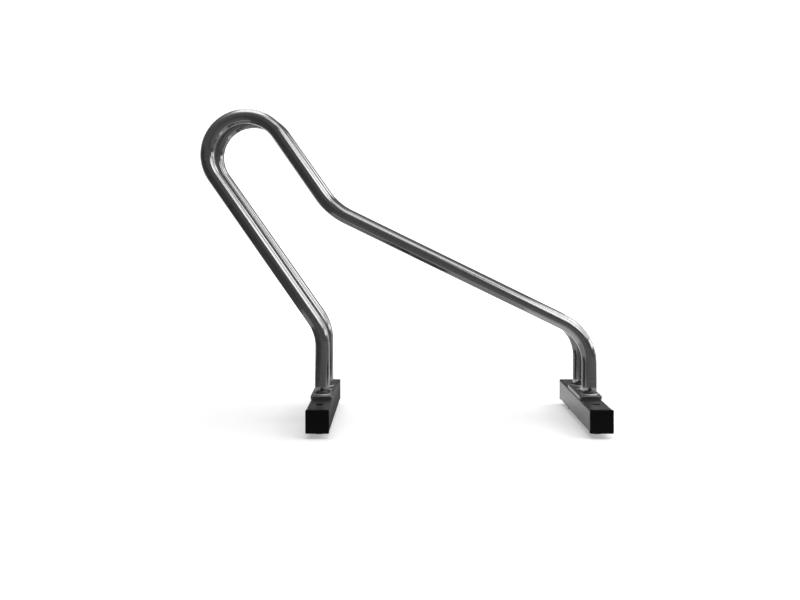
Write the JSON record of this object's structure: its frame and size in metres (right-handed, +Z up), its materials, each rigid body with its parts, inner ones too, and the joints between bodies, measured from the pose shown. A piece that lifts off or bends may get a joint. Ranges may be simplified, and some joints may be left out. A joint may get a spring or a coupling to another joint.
{
  "type": "bike rack",
  "caption": "Low floor-standing bike rack: twin bent tube hoops on two square-tube rails hold a front wheel between them.",
  "frame": {"origin": "on the floor, at the middle of the overall length and width", "axes": "+X along the parked wheel towards the low entry end, +Y across the rack, +Z up"},
  "size_m": [0.5399, 0.25, 0.427],
  "materials": {
    "hoop_steel": "brushed and waxed, satin with bright highlights",
    "rail_steel": "satin, darker than the hoops",
    "plate_steel": "satin with bright edges",
    "weld_metal": "rippled bead, bright",
    "zinc_steel": "zinc plated, soft sheen",
    "foot_rubber": "moulded black rubber, dull",
    "cap_plastic": "moulded black, fine grain"
  },
  "bodies": {
    "root": {"near_hoop": "hoop_steel", "far_hoop": "hoop_steel", "loop_foot_plate": "plate_steel", "entry_foot_plate": "plate_steel", "loop_near_weld": "weld_metal", "loop_far_weld": "weld_metal", "entry_near_weld": "weld_metal", "entry_far_weld": "weld_metal", "loop_rail": "rail_steel", "entry_rail": "rail_steel", "loop_near_foot": "foot_rubber", "loop_far_foot": "foot_rubber", "entry_near_foot": "foot_rubber", "entry_far_foot": "foot_rubber", "loop_near_cap": "cap_plastic", "loop_far_cap": "cap_plastic", "entry_near_cap": "cap_plastic", "entry_far_cap": "cap_plastic", "loop_screw": "zinc_steel", "entry_screw": "zinc_steel", "loop_rivet_nut": "zinc_steel", "entry_rivet_nut": "zinc_steel"}
  },
  "joints": []
}
